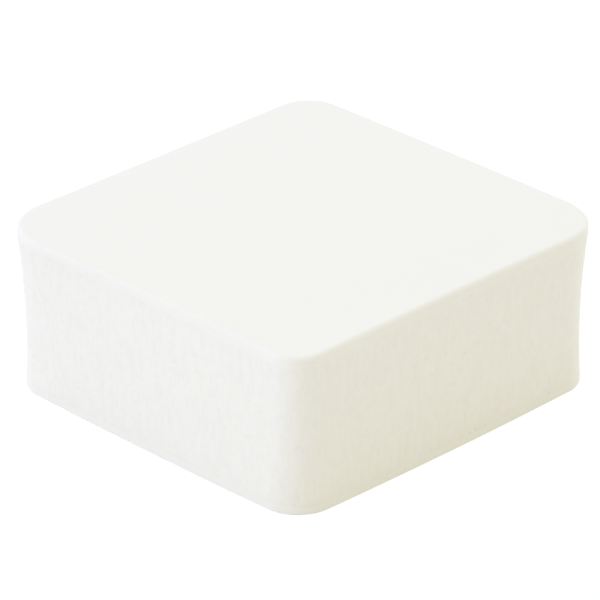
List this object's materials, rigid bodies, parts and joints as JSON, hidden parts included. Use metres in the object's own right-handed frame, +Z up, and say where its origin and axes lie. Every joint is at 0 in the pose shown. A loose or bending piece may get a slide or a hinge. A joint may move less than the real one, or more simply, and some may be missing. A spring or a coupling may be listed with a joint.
{
  "type": "nail buffer block",
  "caption": "Small square foam hand block with a fine white abrasive laminate on its top and foot faces, for smoothing and buffing nails",
  "frame": {"origin": "middle of the foot face, on the surface that the block rests on", "axes": "+Z is up, from the foot face to the top face; X is the slightly shorter side, Y the longer one"},
  "size_m": [0.03, 0.031, 0.0125],
  "materials": {
    "grit_coat": "white aluminium oxide grit in white resin, very fine and matte",
    "backing_paper": "white uncoated paper, cut edge showing",
    "adhesive": "milky pressure-sensitive adhesive film",
    "foam": "white fine-cell foam, matte, open pores on the cut walls"
  },
  "bodies": {
    "root": {"bottom_grit_coat": "grit_coat", "bottom_backing_sheet": "backing_paper", "bottom_adhesive_film": "adhesive", "foam_core": "foam", "top_adhesive_film": "adhesive", "top_backing_sheet": "backing_paper", "top_grit_coat": "grit_coat"}
  },
  "joints": []
}
